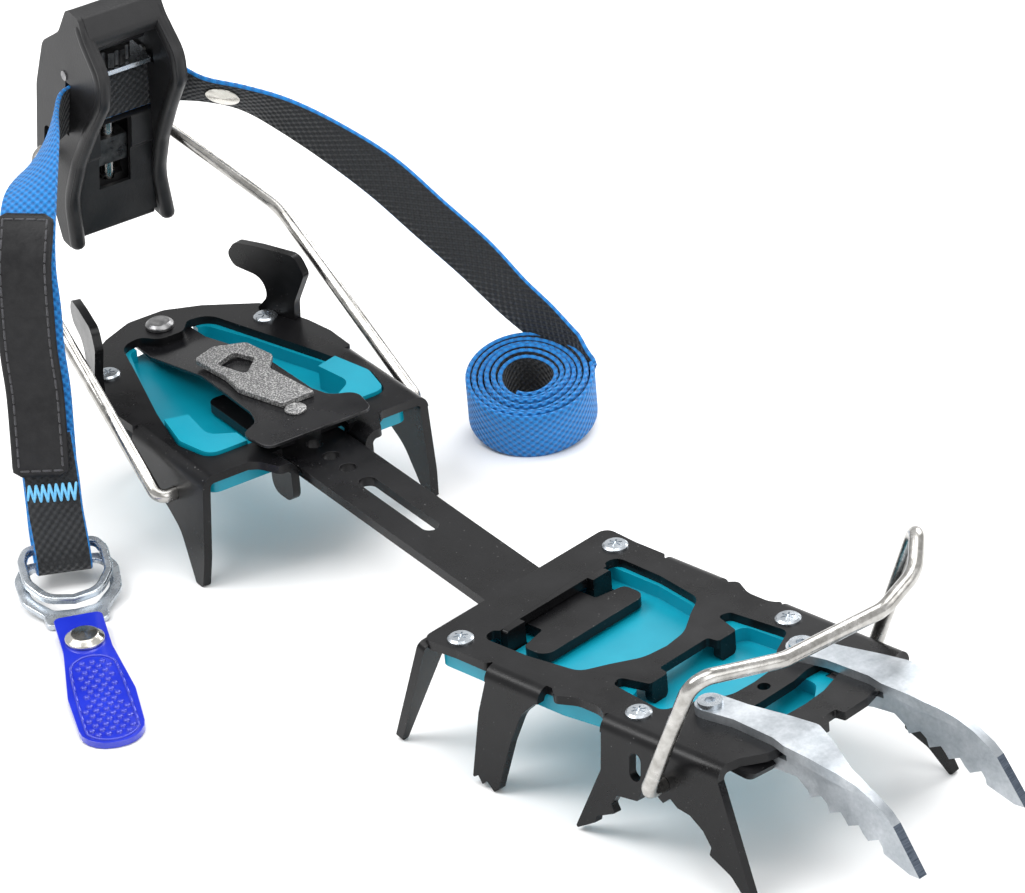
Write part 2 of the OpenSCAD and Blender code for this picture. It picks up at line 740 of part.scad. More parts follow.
module heel_lever() {
    color([0.17, 0.17, 0.18])
        lever_placed()
            difference() {
                union() {
                    mirrored()
                        lever_side();
                    wall([[-6, 0, 1], [-3.6, 0, 1], [-9, 14, 8], [web_x + web_t, 22, 4],
                        [web_x + web_t, 62, 3], [-4, 71, 3], [-2, 80, 1], [-7, 80, 2], [-8.5, 72, 3],
                        [web_x, 66, 3], [web_x, 22, 4], [-11, 12, 8]], -13, 26);
                    wall([[-7, 80, 2], [0, 80, 2], [4.5, 74, 3], [3, 70, 1.5], [-5, 71, 2]], -12, 24);
                    wall([[-5, 3, 0], [-5.7, 14, 2], [-5.7, 38.2, 0], [-3.2, 38.2, 0.8], [-3.2, 27.5, 0.8], [-4.4, 26, 0.8],
                        [-4.4, 14, 6], [-2.6, 3, 0]], -13, 26);
                    wall([[-14, 64.5, 1], [-20, 60, 4], [-22.6, 46, 6], [-22.4, 36, 0.8], [-20.4, 36, 0.8],
                        [-20.6, 46, 6], [-18, 59, 3], [-13, 62.5, 1]], -12.6, 25.2);
                }
                translate([-24, -5.3, block_z[0] - adjust_travel - 1])
                    cube([24, 10.6, block_z[1] - block_z[0] + 2 * adjust_travel + 2]);
                translate([-17, -12, wheel_z - 2.2])
                    cube([17, 24, 9]);
                translate([-7, -4.4, 16.5])
                    cube([4, 8.8, 8.6]);
                translate([cross_x, 0, cross_z])
                    rotate([90, 0, 0])
                        hull()
                            for (s = [-1, 1])
                                translate([0, s * adjust_travel, -20])
                                    cylinder(h = 40, r = heel_wire_r + wire_gap, $fn = 32);
                translate([strap_x - 1.4, -20, strap_z - strap_w / 2 - 0.8])
                    cube([2.8, 40, strap_w + 1.6]);
                mirrored()
                    translate([-7, 8, wheel_z - 1.2])
                        rotate([-90, 0, 0])
                            cylinder(h = 12, r = 1.5);
            }
}

// Steel nut block on the bail's crossbar, moved by the screw
module adjuster_block() {
    color([0.2, 0.2, 0.21])
        lever_placed()
            difference() {
                union() {
                    translate([-19, -5, block_z[0]])
                        cube([13, 10, block_z[1] - block_z[0]]);
                    translate([-19, -11, block_z[0]])
                        cube([4.6, 22, block_z[1] - block_z[0]]);
                }
                translate([screw_x, 0, block_z[0] - 1])
                    cylinder(h = 20, r = screw_r + 0.06);
                translate([cross_x, -20, cross_z])
                    rotate([-90, 0, 0])
                        cylinder(h = 40, r = heel_wire_r + wire_gap);
            }
}

module adjuster_screw() {
    color([0.75, 0.75, 0.74])
        lever_placed()
            translate([screw_x, 0, 15.5])
                cylinder(h = wheel_z + 6 - 15.5, r = screw_r);
}

module thumbwheel() {
    color([0.12, 0.12, 0.12])
        lever_placed()
            translate([screw_x, 0, wheel_z])
                difference() {
                    cylinder(h = 5, r = wheel_r);
                    translate([0, 0, -1])
                        cylinder(h = 8, r = screw_r);
                    for (a = [0:30:330])
                        rotate([0, 0, a])
                            translate([wheel_r + 0.3, 0, -1])
                                cylinder(h = 8, r = 1.1, $fn = 16);
                }
}

module wheel_plate() {
    color([0.78, 0.79, 0.8])
        lever_placed()
            difference() {
                translate([-16.5, -11.1, wheel_z - 1.9])
                    cube([15.5, 22.2, 1.5]);
                translate([screw_x, 0, wheel_z - 3])
                    cylinder(h = 6, r = screw_r + 0.06);
            }
}

module wheel_pins() {
    color([0.8, 0.8, 0.8])
        lever_placed()
            mirrored()
                translate([-7, 11.15, wheel_z - 1.2])
                    rotate([-90, 0, 0])
                        cylinder(h = 3.8, r = 1.5);
}

// ---------- strap ----------
// Each row is a point on the strap's middle line and a hint of the direction of its width
free_route = [
    [-99, 11, 108, 0.2, 0, 1], [-98.8, 15.6, 107.8, 0.2, 0, 1], [-96.4, 20, 106.2, 0.4, -0.08, 0.92],
    [-91, 26, 103.8, 0.62, -0.22, 0.75],
    [-84, 35, 100.6, 0.62, -0.22, 0.75], [-75, 44, 95, 0.5, -0.05, 0.85], [-66, 54, 86, 0.4, 0.1, 0.9],
    [-57, 64, 75, 0.3, 0.2, 0.9], [-48, 73, 62, 0.3, 0.2, 0.9], [-39, 82, 49, 0.3, 0.2, 0.9],
    [-31, 90, 37, 0.3, 0.1, 0.9], [-23, 97, 27.5, 0.25, 0, 0.95], [-14.5, 101.6, 20, 0.21, -0.1, 0.97],
    [-6.8, 102, 15.2, 0.21, -0.12, 0.97]];
buckle_route = [
    [-99, -11, 108, 0.2, 0, 1], [-97, -18, 108, 0.2, 0, 1], [-88, -27, 108, 0.3, 0.2, 0.9],
    [-74, -38, 109, 0.2, 0.7, 0.6], [-62, -48, 107, 0.3, 0.9, 0.3], [-53, -55, 101, 0.4, 0.9, 0.1],
    [-48, -59, 91, 0.5, 0.8, 0], [-46, -60, 79, 0.5, 0.8, 0], [-45, -61, 67, 0.5, 0.8, 0],
    [-44, -61, 55, 0.5, 0.8, 0], [-43, -62, 43, 0.5, 0.8, 0], [-42, -63, 31, 0.5, 0.8, 0],
    [-40, -64, 20, 0.5, 0.8, 0], [-36, -66, 12, 0.45, 0.85, 0]];
inner_route = [[-99, -11, 108, 0.2, 0, 1], [-99, 0, 108, 0.2, 0, 1], [-99, 11, 108, 0.2, 0, 1]];

function place_of(row) = [row[0], row[1], row[2]];
function hint_of(row) = [row[3], row[4], row[5]];
function along(route, i) =
    unit(place_of(route[min(i + 1, len(route) - 1)]) - place_of(route[max(i - 1, 0)]));
function ribbon_ring(route, i, w, t) =
    let (d = along(route, i), h = hint_of(route[i]), u = unit(h - d * (h * d)), n = cross(d, u),
         a = w / 2, b = t / 2, k = t * 0.3)
    [for (q = [[a - k, -b], [a, -b + k], [a, b - k], [a - k, b], [-a + k, b], [-a, b - k], [-a, -b + k], [-a + k, -b]])
        place_of(route[i]) + u * q.x + n * q.y];

// Flat webbing swept along a route
module ribbon(route, w, t) {
    count = len(route);
    polyhedron(
        points = [for (i = [0:count - 1]) each ribbon_ring(route, i, w, t)],
        faces = skin_faces(count, 8));
}

module strap_free_run() {
    color([0.06, 0.3, 0.6])
        placed()
            ribbon(free_route, strap_w, strap_t);
}

module strap_buckle_run() {
    color([0.06, 0.3, 0.6])
        placed()
            ribbon(buckle_route, strap_w, strap_t);
}

module strap_inner_run() {
    color([0.06, 0.1, 0.2])
        placed()
            ribbon(inner_route, strap_w, strap_t);
}

roll_foot = [-17.6, 84.2, 4.4];
roll_tilt = 14;
roll_turn = -31;
module strap_roll() {
    color([0, 0.45, 0.85])
        placed()
            translate(roll_foot)
                rotate([0, 0, roll_turn])
                    rotate([0, roll_tilt, 0])
                        rotate_extrude()
                            translate([5, 0])
                                square([roll_r - 5, strap_w]);
}

module strap_rivet() {
    color([0.8, 0.8, 0.8])
        placed()
            translate([-87.5, 30.5, 102.2])
                rotate([0, 128, -50])
                    for (s = [0, 1])
                        mirror([0, 0, s])
                            translate([0, 0, strap_t / 2 + 0.1])
                                rotate_extrude()
                                    polygon(rounded([[0, 0, 0], [5.2, 0, 0.2], [5.2, 0.5, 0.2], [0, 1.1, 0]]));
}

patch_route = [[-56.6, -52.6, 103.6, 0.36, 0.9, 0.1], [-52.6, -56, 98.6, 0.43, 0.86, 0.05],
    [-49.4, -59.2, 91.5, 0.5, 0.8, 0], [-47.6, -61, 79, 0.5, 0.8, 0], [-46.6, -62, 67, 0.5, 0.8, 0],
    [-45.6, -62, 55, 0.5, 0.8, 0], [-44.6, -63, 43, 0.5, 0.8, 0], [-43.6, -64, 32, 0.5, 0.8, 0]];
module label_patch() {
    color([0.1, 0.1, 0.11])
        placed()
            translate([1.8, -1.6, 0.6])
                ribbon(patch_route, strap_w - 1, 1.2);
}

// ---------- double ring buckle ----------
buckle_at = [-33, -67.5, 9];
buckle_turn = -21;
buckle_dip = 12;
module buckle_placed() {
    placed()
        translate(buckle_at)
            rotate([0, 0, buckle_turn])
                rotate([0, buckle_dip, 0])
                    children();
}

module buckle_ring() {
    color([0.8, 0.82, 0.84])
        buckle_placed()
            difference() {
                plate(both_sides([[-1.4, 0, 0], [-1.4, 10.6, 4], [4, 13.2, 6], [14, 13.2, 8], [22.6, 8.4, 8], [24.6, 0, 0]]), 0, 2.4);
                plate(both_sides([[1.2, 0, 0], [1.2, 9.4, 2], [5, 10.6, 4], [13.4, 10.6, 6], [20.4, 6.6, 6], [22, 0, 0]]), -1, 5);
            }
}

module buckle_plate() {
    color([0.7, 0.75, 0.8])
        buckle_placed()
            difference() {
                plate(both_sides([[2.8, 0, 0], [2.8, 12, 5], [9, 15.2, 7], [19, 14.6, 8], [26, 9.4, 4], [31, 9, 2], [31, 0, 0]]),
                    -2.6, 1.8);
                plate(both_sides([[5.4, 0, 0], [5.4, 10, 4], [10, 12, 5], [18, 11.2, 6], [24.4, 6, 3], [25, 0, 0]]), -4, 5);
            }
}

tab_at = [-7, -78, 4.7];
tab_turn = -20.5;
tab_dip = 2.6;
tab_len = 70;
module tab_placed() {
    placed()
        translate(tab_at)
            rotate([0, 0, tab_turn])
                rotate([0, tab_dip, 0])
                    children();
}

module pull_tab() {
    color([0.05, 0.1, 0.75])
        tab_placed()
            difference() {
                plate(both_sides([[3.6, 7, 2], [22, 7, 6], [32, 8, 8], [45, 9.6, 16], [tab_len, 9, 8.5]]), -1.4, 2);
                translate([17, 0, -3])
                    cylinder(h = 6, r = 2);
            }
}

module tab_stud() {
    color([0.6, 0.6, 0.6])
        tab_placed()
            translate([17, 0, 0]) {
                translate([0, 0, 0.6])
                    rotate_extrude()
                        polygon(rounded([[0, 0, 0], [5.7, 0, 0.3], [5.7, 0.9, 0.6], [4, 2.2, 1.2], [0, 2.5, 0]]));
                translate([0, 0, -1.4])
                    cylinder(h = 2, r = 2);
            }
}

heel_frame();
heel_antiball_plate();
heel_plugs();
spring_rivet();
lock_spring();
lock_tab();
lock_pin();
lock_collar();
linking_bar();
front_frame();
front_antiball_plate();
front_plugs();
front_point_left();
front_point_right();
point_bolts();
point_nuts();
toe_bail();
heel_bail();
heel_lever();
adjuster_block();
adjuster_screw();
thumbwheel();
wheel_plate();
wheel_pins();
strap_inner_run();
strap_buckle_run();
strap_free_run();
strap_roll();
strap_rivet();
label_patch();
buckle_ring();
buckle_plate();
pull_tab();
tab_stud();
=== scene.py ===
import math

import bmesh
import bpy
from mathutils import Matrix, Quaternion, Vector


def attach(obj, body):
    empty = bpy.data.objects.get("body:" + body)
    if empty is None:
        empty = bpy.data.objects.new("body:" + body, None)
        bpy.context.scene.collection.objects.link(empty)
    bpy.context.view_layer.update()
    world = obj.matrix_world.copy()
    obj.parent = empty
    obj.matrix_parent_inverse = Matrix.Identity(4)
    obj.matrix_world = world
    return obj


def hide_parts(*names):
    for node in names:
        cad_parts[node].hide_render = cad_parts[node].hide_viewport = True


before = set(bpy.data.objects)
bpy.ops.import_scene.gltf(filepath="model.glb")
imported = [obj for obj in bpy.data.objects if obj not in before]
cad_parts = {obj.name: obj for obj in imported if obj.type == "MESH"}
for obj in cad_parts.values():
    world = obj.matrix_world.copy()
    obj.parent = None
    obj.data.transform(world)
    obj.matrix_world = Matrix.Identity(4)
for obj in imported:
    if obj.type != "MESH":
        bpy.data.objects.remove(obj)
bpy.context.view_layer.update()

MM = 0.001

# Routes are written in millimetres in the heel frame's own place, whose x = 0 is the frame's front
# edge. ORIGIN is the place of the row's origin in it, and the other places are those of the CAD source.
ORIGIN = (75.614, 10.8)
FRAME_GAP, FRONT_SHIFT, FRONT_YAW = 108, -1.5, math.radians(13)
LEVER_FOOT, LEVER_LEAN = (-102, 61), math.radians(10)
BUCKLE_AT, BUCKLE_TURN = (-33, -67.5, 9), math.radians(-21)
TAB_AT, TAB_TURN, TAB_TILT = (-7, -78, 4.7), math.radians(-20.5), math.radians(2.6)


def heel(x, y, z):
    return Vector(((x - ORIGIN[0]) * MM, (y - ORIGIN[1]) * MM, z * MM))


def front(x, y, z):
    """A point of the front frame's own place, whose x = 0 is the frame's rear edge."""
    c, s = math.cos(FRONT_YAW), math.sin(FRONT_YAW)
    return heel(FRAME_GAP + x * c - y * s, FRONT_SHIFT + x * s + y * c, z)


def in_front(p):
    """A point of the row in the front frame's own place, in millimetres."""
    dx, dy = p.x / MM + ORIGIN[0] - FRAME_GAP, p.y / MM + ORIGIN[1] - FRONT_SHIFT
    c, s = math.cos(FRONT_YAW), math.sin(FRONT_YAW)
    return Vector((dx * c + dy * s, dy * c - dx * s, p.z / MM))


def lever(x, y, z):
    """A point of the lever's own place: upright, foot at z = 0, channel open towards +x."""
    v = Matrix.Rotation(LEVER_LEAN, 3, "Y") @ Vector((x, y, z))
    return heel(LEVER_FOOT[0] + v.x, v.y, LEVER_FOOT[1] + v.z)


def tab(x, y, z):
    """A point of the pull tab's own place: along it, across it and up from its middle plane."""
    v = Matrix.Rotation(TAB_TURN, 3, "Z") @ Matrix.Rotation(TAB_TILT, 3, "Y") @ Vector((x, y, z))
    return heel(TAB_AT[0] + v.x, TAB_AT[1] + v.y, TAB_AT[2] + v.z)


# ---------------------------------------------------------------- camera
CAM_AT = heel(1317.05, -722.44, 859.70)
CAM_AZ, CAM_EL, CAM_ROLL = 1.0313, 0.5069, -0.0869
SENSOR_MM, LENS_MM = 36, 210.7317
look = Vector((-math.sin(CAM_AZ) * math.cos(CAM_EL), math.cos(CAM_AZ) * math.cos(CAM_EL), -math.sin(CAM_EL)))
level = Vector((math.cos(CAM_AZ), math.sin(CAM_AZ), 0))
upward = level.cross(look)
image_right = math.cos(CAM_ROLL) * level + math.sin(CAM_ROLL) * upward
image_up = -math.sin(CAM_ROLL) * level + math.cos(CAM_ROLL) * upward
cam_data = bpy.data.cameras.new("camera")
cam_data.sensor_width = SENSOR_MM
cam_data.lens = LENS_MM
cam_data.clip_end = 20
cam = bpy.data.objects.new("camera", cam_data)
cam.matrix_world = Matrix((image_right, image_up, -look)).transposed().to_4x4()
cam.matrix_world.translation = CAM_AT
bpy.context.collection.objects.link(cam)
bpy.context.scene.camera = cam


# ---------------------------------------------------------------- materials
def new_material(name, color, rough, metal=0.0, coat=0.0, coat_rough=0.1, sheen=0.0, specular=0.5):
    m = bpy.data.materials.new(name)
    m.use_nodes = True
    b = m.node_tree.nodes["Principled BSDF"]
    b.inputs["Base Color"].default_value = (*color, 1)
    b.inputs["Roughness"].default_value = rough
    b.inputs["Metallic"].default_value = metal
    b.inputs["Coat Weight"].default_value = coat
    b.inputs["Coat Roughness"].default_value = coat_rough
    b.inputs["Sheen Weight"].default_value = sheen
    b.inputs["Specular IOR Level"].default_value = specular
    return m, m.node_tree.nodes, m.node_tree.links, b


def noise(nodes, links, coords, scale, detail=4.0, rough=0.6):
    n = nodes.new("ShaderNodeTexNoise")
    n.inputs["Scale"].default_value = scale
    n.inputs["Detail"].default_value = detail
    n.inputs["Roughness"].default_value = rough
    links.new(coords, n.inputs["Vector"])
    return n.outputs["Fac"]


def object_coords(nodes):
    return nodes.new("ShaderNodeTexCoord").outputs["Object"]


def ramp(nodes, links, value, stops):
    """Colour ramp over a value. stops are (position, colour or grey)."""
    r = nodes.new("ShaderNodeValToRGB")
    el = r.color_ramp.elements
    while len(el) < len(stops):
        el.new(0.5)
    for e, (at, c) in zip(el, stops):
        e.position = at
        e.color = (c, c, c, 1) if isinstance(c, (int, float)) else (*c, 1)
    links.new(value, r.inputs["Fac"])
    return r.outputs["Color"]


def bump(nodes, links, shader, height, strength, distance):
    b = nodes.new("ShaderNodeBump")
    b.inputs["Strength"].default_value = strength
    b.inputs["Distance"].default_value = distance
    links.new(height, b.inputs["Height"])
    links.new(b.outputs["Normal"], shader.inputs["Normal"])


def mottled(name, dark, light, rough, rough_spread, scale, metal=0.0, grain=0.0, grain_scale=2500,
            **rest):
    """Base colour and roughness that drift with a soft noise, and a fine grain in the normal."""
    m, nodes, links, b = new_material(name, dark, rough, metal, **rest)
    at = object_coords(nodes)
    drift = noise(nodes, links, at, scale)
    links.new(ramp(nodes, links, drift, [(0.35, dark), (0.7, light)]), b.inputs["Base Color"])
    gloss = ramp(nodes, links, drift, [(0.3, rough - rough_spread), (0.75, rough + rough_spread)])
    links.new(gloss, b.inputs["Roughness"])
    if grain:
        bump(nodes, links, b, noise(nodes, links, at, grain_scale, 3.0), grain, 0.0002)
    return m


def dusty_paint(name, dark, light, rough, specular):
    """Black paint with a fine grain, a soft drift of gloss and sparse pale specks."""
    m, nodes, links, b = new_material(name, dark, rough, specular=specular)
    at = object_coords(nodes)
    drift = noise(nodes, links, at, 55, 5.0)
    speck = noise(nodes, links, at, 1500, 1.0, 0.5)
    base = ramp(nodes, links, drift, [(0.35, dark), (0.7, light)])
    mix = nodes.new("ShaderNodeMix")
    mix.data_type = "RGBA"
    mix.inputs["B"].default_value = (0.16, 0.16, 0.16, 1)
    links.new(ramp(nodes, links, speck, [(0.76, 0.0), (0.80, 0.8)]), mix.inputs["Factor"])
    links.new(base, mix.inputs["A"])
    links.new(mix.outputs["Result"], b.inputs["Base Color"])
    links.new(ramp(nodes, links, drift, [(0.3, rough - 0.07), (0.75, rough + 0.08)]), b.inputs["Roughness"])
    bump(nodes, links, b, noise(nodes, links, at, 2200, 3.0), 0.10, 0.0002)
    return m


black_steel = dusty_paint("black_steel", (0.003, 0.003, 0.0035), (0.007, 0.007, 0.008), 0.30, 0.24)
# Lighter, shinier steel for the eased edges of the black parts: partly edge wear, partly a painted highlight
# along the edges
edge_wear_and_highlight = mottled("edge_wear_and_highlight", (0.010, 0.010, 0.011), (0.05, 0.05, 0.052), 0.3, 0.08, 260,
                    metal=0.3, specular=0.3)
spring_black = dusty_paint("spring_black", (0.004, 0.004, 0.005), (0.010, 0.010, 0.011), 0.26, 0.28)
cyan = mottled("cyan_plastic", (0.0, 0.245, 0.345), (0.0, 0.29, 0.40), 0.36, 0.05, 40, grain=0.06,
               grain_scale=1500, specular=0.4)
steel = mottled("stainless_wire", (0.34, 0.33, 0.31), (0.56, 0.55, 0.53), 0.24, 0.07, 300,
                metal=1.0, grain=0.08, grain_scale=3500)
zinc = mottled("zinc", (0.46, 0.50, 0.54), (0.60, 0.64, 0.68), 0.27, 0.05, 260, metal=0.95, grain=0.06)
rivet_steel = mottled("rivet_steel", (0.16, 0.16, 0.165), (0.34, 0.34, 0.34), 0.34, 0.08, 400,
                      metal=0.95, grain=0.2)
nickel = mottled("nickel", (0.55, 0.53, 0.48), (0.72, 0.70, 0.66), 0.2, 0.05, 200, metal=1.0)
dark_metal = mottled("dark_metal", (0.03, 0.03, 0.032), (0.09, 0.09, 0.09), 0.34, 0.1, 300,
                     metal=0.7, grain=0.2)
lever_black = mottled("lever_plastic", (0.011, 0.011, 0.012), (0.019, 0.019, 0.020), 0.42, 0.06,
                      90, grain=0.3, grain_scale=1400, specular=0.3)
leather = mottled("patch_leather", (0.006, 0.006, 0.007), (0.014, 0.014, 0.015), 0.5, 0.08, 300,
                  grain=0.6, grain_scale=900, specular=0.3)
thread_dark = mottled("thread_dark", (0.02, 0.02, 0.022), (0.06, 0.06, 0.07), 0.7, 0.05, 900, sheen=0.3)
thread_blue = mottled("thread_blue", (0.10, 0.42, 0.72), (0.2, 0.55, 0.82), 0.7, 0.05, 900, sheen=0.3)
tab_blue = mottled("tab_plastic", (0.008, 0.02, 0.42), (0.012, 0.03, 0.5), 0.2, 0.04, 60, coat=0.5,
                   coat_rough=0.05)


def galvanised():
    """Pale zinc coat with soft clouds and fine flecks."""
    m, nodes, links, b = new_material("galvanised", (0.6, 0.63, 0.66), 0.36, 0.85)
    at = object_coords(nodes)
    cloud = noise(nodes, links, at, 90, 6.0)
    fleck = noise(nodes, links, at, 900, 3.0)
    mixed = nodes.new("ShaderNodeMath")
    mixed.operation = "MULTIPLY_ADD"
    mixed.inputs[1].default_value = 0.35
    links.new(fleck, mixed.inputs[0])
    links.new(cloud, mixed.inputs[2])
    tint = ramp(nodes, links, mixed.outputs[0],
                [(0.45, (0.30, 0.33, 0.36)), (0.7, (0.43, 0.46, 0.49)), (0.9, (0.56, 0.59, 0.62))])
    links.new(tint, b.inputs["Base Color"])
    links.new(ramp(nodes, links, cloud, [(0.3, 0.30), (0.7, 0.44)]), b.inputs["Roughness"])
    bump(nodes, links, b, fleck, 0.12, 0.0002)
    return m


def speckled():
    """Sandblasted steel with bright flecks."""
    m, nodes, links, b = new_material("sandblasted", (0.3, 0.3, 0.3), 0.5, 0.7)
    at = object_coords(nodes)
    fleck = noise(nodes, links, at, 1900, 2.0, 0.7)
    tint = ramp(nodes, links, fleck,
                [(0.40, (0.11, 0.11, 0.115)), (0.52, (0.26, 0.26, 0.26)), (0.64, (0.62, 0.62, 0.61))])
    links.new(tint, b.inputs["Base Color"])
    bump(nodes, links, b, fleck, 0.5, 0.0003)
    return m


def ground_steel():
    """Tip bevels ground to bare steel, with fine lines along the cut."""
    m, nodes, links, b = new_material("ground_steel", (0.2, 0.24, 0.3), 0.32, 0.8)
    at = nodes.new("ShaderNodeMapping")
    at.inputs["Scale"].default_value = (1, 1, 18)
    links.new(object_coords(nodes), at.inputs["Vector"])
    lines = noise(nodes, links, at.outputs["Vector"], 200, 3.0)
    tint = ramp(nodes, links, lines, [(0.3, (0.05, 0.065, 0.09)), (0.75, (0.16, 0.19, 0.24))])
    links.new(tint, b.inputs["Base Color"])
    bump(nodes, links, b, lines, 0.2, 0.0002)
    return m


def wave(nodes, links, value, period, offset=0.0):
    """Sine of a value with the given period, from -1 to 1."""
    n = nodes.new("ShaderNodeMath")
    n.operation = "MULTIPLY_ADD"
    n.inputs[1].default_value = 2 * math.pi / period
    n.inputs[2].default_value = offset
    links.new(value, n.inputs[0])
    s = nodes.new("ShaderNodeMath")
    s.operation = "SINE"
    links.new(n.outputs[0], s.inputs[0])
    return s.outputs[0]


def math_node(nodes, links, operation, a, b):
    n = nodes.new("ShaderNodeMath")
    n.operation = operation
    for i, v in enumerate((a, b)):
        if isinstance(v, (int, float)):
            n.inputs[i].default_value = v
        else:
            links.new(v, n.inputs[i])
    return n.outputs[0]


THREAD_ACROSS, THREAD_ALONG = 2.4 * MM, 2.6 * MM


def webbing(name, low, high, fleck, fleck_share):
    """Plain weave over the UV map, whose units are metres, with a little fuzz on its threads. Its colour
    follows the weave's height: the dips between threads are darker as painted shade, and the highest crowns
    take the fleck colour.
    """
    m, nodes, links, b = new_material(name, low, 0.72, sheen=0.12)
    uv = nodes.new("ShaderNodeUVMap")
    uv.uv_map = "weave"
    split = nodes.new("ShaderNodeSeparateXYZ")
    links.new(uv.outputs["UV"], split.inputs["Vector"])
    across = wave(nodes, links, split.outputs["X"], THREAD_ACROSS)
    along = wave(nodes, links, split.outputs["Y"], THREAD_ALONG)
    weave = math_node(nodes, links, "MULTIPLY", across, along)
    fuzz = noise(nodes, links, uv.outputs["UV"], 2600, 3.0)
    height = math_node(nodes, links, "ADD", weave, math_node(nodes, links, "MULTIPLY", fuzz, 0.6))
    shade = math_node(nodes, links, "MULTIPLY_ADD", height, 0.3)
    shade.node.inputs[2].default_value = 0.35
    # Colour from the weave's height: low for the dips, painted shade; high for the thread tops; fleck for the
    # highest crowns
    tint = ramp(nodes, links, shade, [(0.1, low), (0.55, high), (1 - fleck_share, high), (1.0, fleck)])
    links.new(tint, b.inputs["Base Color"])
    bump(nodes, links, b, height, 0.8, 0.0005)
    return m


galvanised_steel = galvanised()
sandblasted = speckled()
ground_tip = ground_steel()
# Colours of the weave's dips, which carry painted shade, of its thread tops and of its highest crowns
web_blue = webbing("webbing_blue", (0.0, 0.07, 0.25), (0.0, 0.20, 0.58), (0.03, 0.33, 0.74), 0.25)
web_black = webbing("webbing_black", (0.002, 0.003, 0.004), (0.009, 0.011, 0.014), (0.006, 0.10,
                    0.20), 0.14)


# ---------------------------------------------------------------- mesh helpers
def link(name, mesh, body, materials):
    obj = bpy.data.objects.new(name, mesh)
    bpy.context.collection.objects.link(obj)
    for m in materials:
        obj.data.materials.append(m)
    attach(obj, body)
    return obj


def smooth(mesh, angle=34):
    mesh.shade_smooth()
    mesh.set_sharp_from_angle(angle=math.radians(angle))


def rounded_node(node, body, materials, width, segments=2, edge=None, second=None):
    """A CAD node's own shape with its sharp edges eased, in place of the node. Faces for which second
    is true take the second material, and edge is the material slot of the eased edges."""
    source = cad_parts[node]
    bm = bmesh.new()
    bm.from_mesh(source.data)
    bm.transform(source.matrix_world)
    bmesh.ops.remove_doubles(bm, verts=bm.verts, dist=2e-6)
    bmesh.ops.dissolve_limit(bm, angle_limit=math.radians(1.5), verts=bm.verts, edges=bm.edges)
    for f in bm.faces:
        f.material_index = 1 if second and second(f) else 0
    mesh = bpy.data.meshes.new(node + "_eased")
    bm.to_mesh(mesh)
    bm.free()
    for a in [a.name for a in mesh.attributes if a.name in ("custom_normal", "sharp_face", "sharp_edge")]:
        mesh.attributes.remove(mesh.attributes[a])
    obj = link(node + "_eased", mesh, body, materials)
    mod = obj.modifiers.new("ease", "BEVEL")
    mod.width = width
    mod.segments = segments
    mod.limit_method = "ANGLE"
    mod.angle_limit = math.radians(40)
    mod.use_clamp_overlap = True
    mod.harden_normals = True
    if edge is not None:
        mod.material = edge
    smooth(mesh, 40)
    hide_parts(node)
    return obj


def path_frames(points, hints):
    """Unit tangent, width direction and normal at each point of a path."""
    out = []
    for i, p in enumerate(points):
        d = (points[min(i + 1, len(points) - 1)] - points[max(i - 1, 0)]).normalized()
        u = (hints[i] - d * hints[i].dot(d)).normalized()
        out.append((p, d, u, d.cross(u)))
    return out


def spline(rows, step):
    """Catmull-Rom curve through rows of numbers, resampled to an even step of its first three."""
    rows = [rows[0]] + list(rows) + [rows[-1]]
    fine = []
    for a, b, c, d in zip(rows, rows[1:], rows[2:], rows[3:]):
        for k in range(24):
            t = k / 24
            fine.append([0.5 * (2 * q + (r - p) * t + (2 * p - 5 * q + 4 * r - s) * t * t
                                + (3 * q - p - 3 * r + s) * t ** 3)
                         for p, q, r, s in zip(a, b, c, d)])
    fine.append(list(rows[-1]))
    total, marks = 0.0, [0.0]
    for p, q in zip(fine, fine[1:]):
        total += math.dist(p[:3], q[:3])
        marks.append(total)
    count = max(2, round(total / step))
    out, j = [], 0
    for k in range(count + 1):
        want = total * k / count
        while j < len(marks) - 2 and marks[j + 1] < want:
            j += 1
        t = (want - marks[j]) / max(marks[j + 1] - marks[j], 1e-12)
        out.append([p + (q - p) * t for p, q in zip(fine[j], fine[j + 1])])
    return out


def on_circle(centre, u, v, radius, k, sides):
    """Point k of a circle of so many points, spanned by the unit vectors u and v."""
    angle = 2 * math.pi * k / sides
    return centre + (u * math.cos(angle) + v * math.sin(angle)) * radius


def skin(bm, rings):
    """Closed solid through rings of vertices."""
    for a, b in zip(rings, rings[1:]):
        for i in range(len(a)):
            j = (i + 1) % len(a)
            bm.faces.new((a[i], a[j], b[j], b[i]))
    bm.faces.new(rings[0][::-1])
    bm.faces.new(rings[-1])


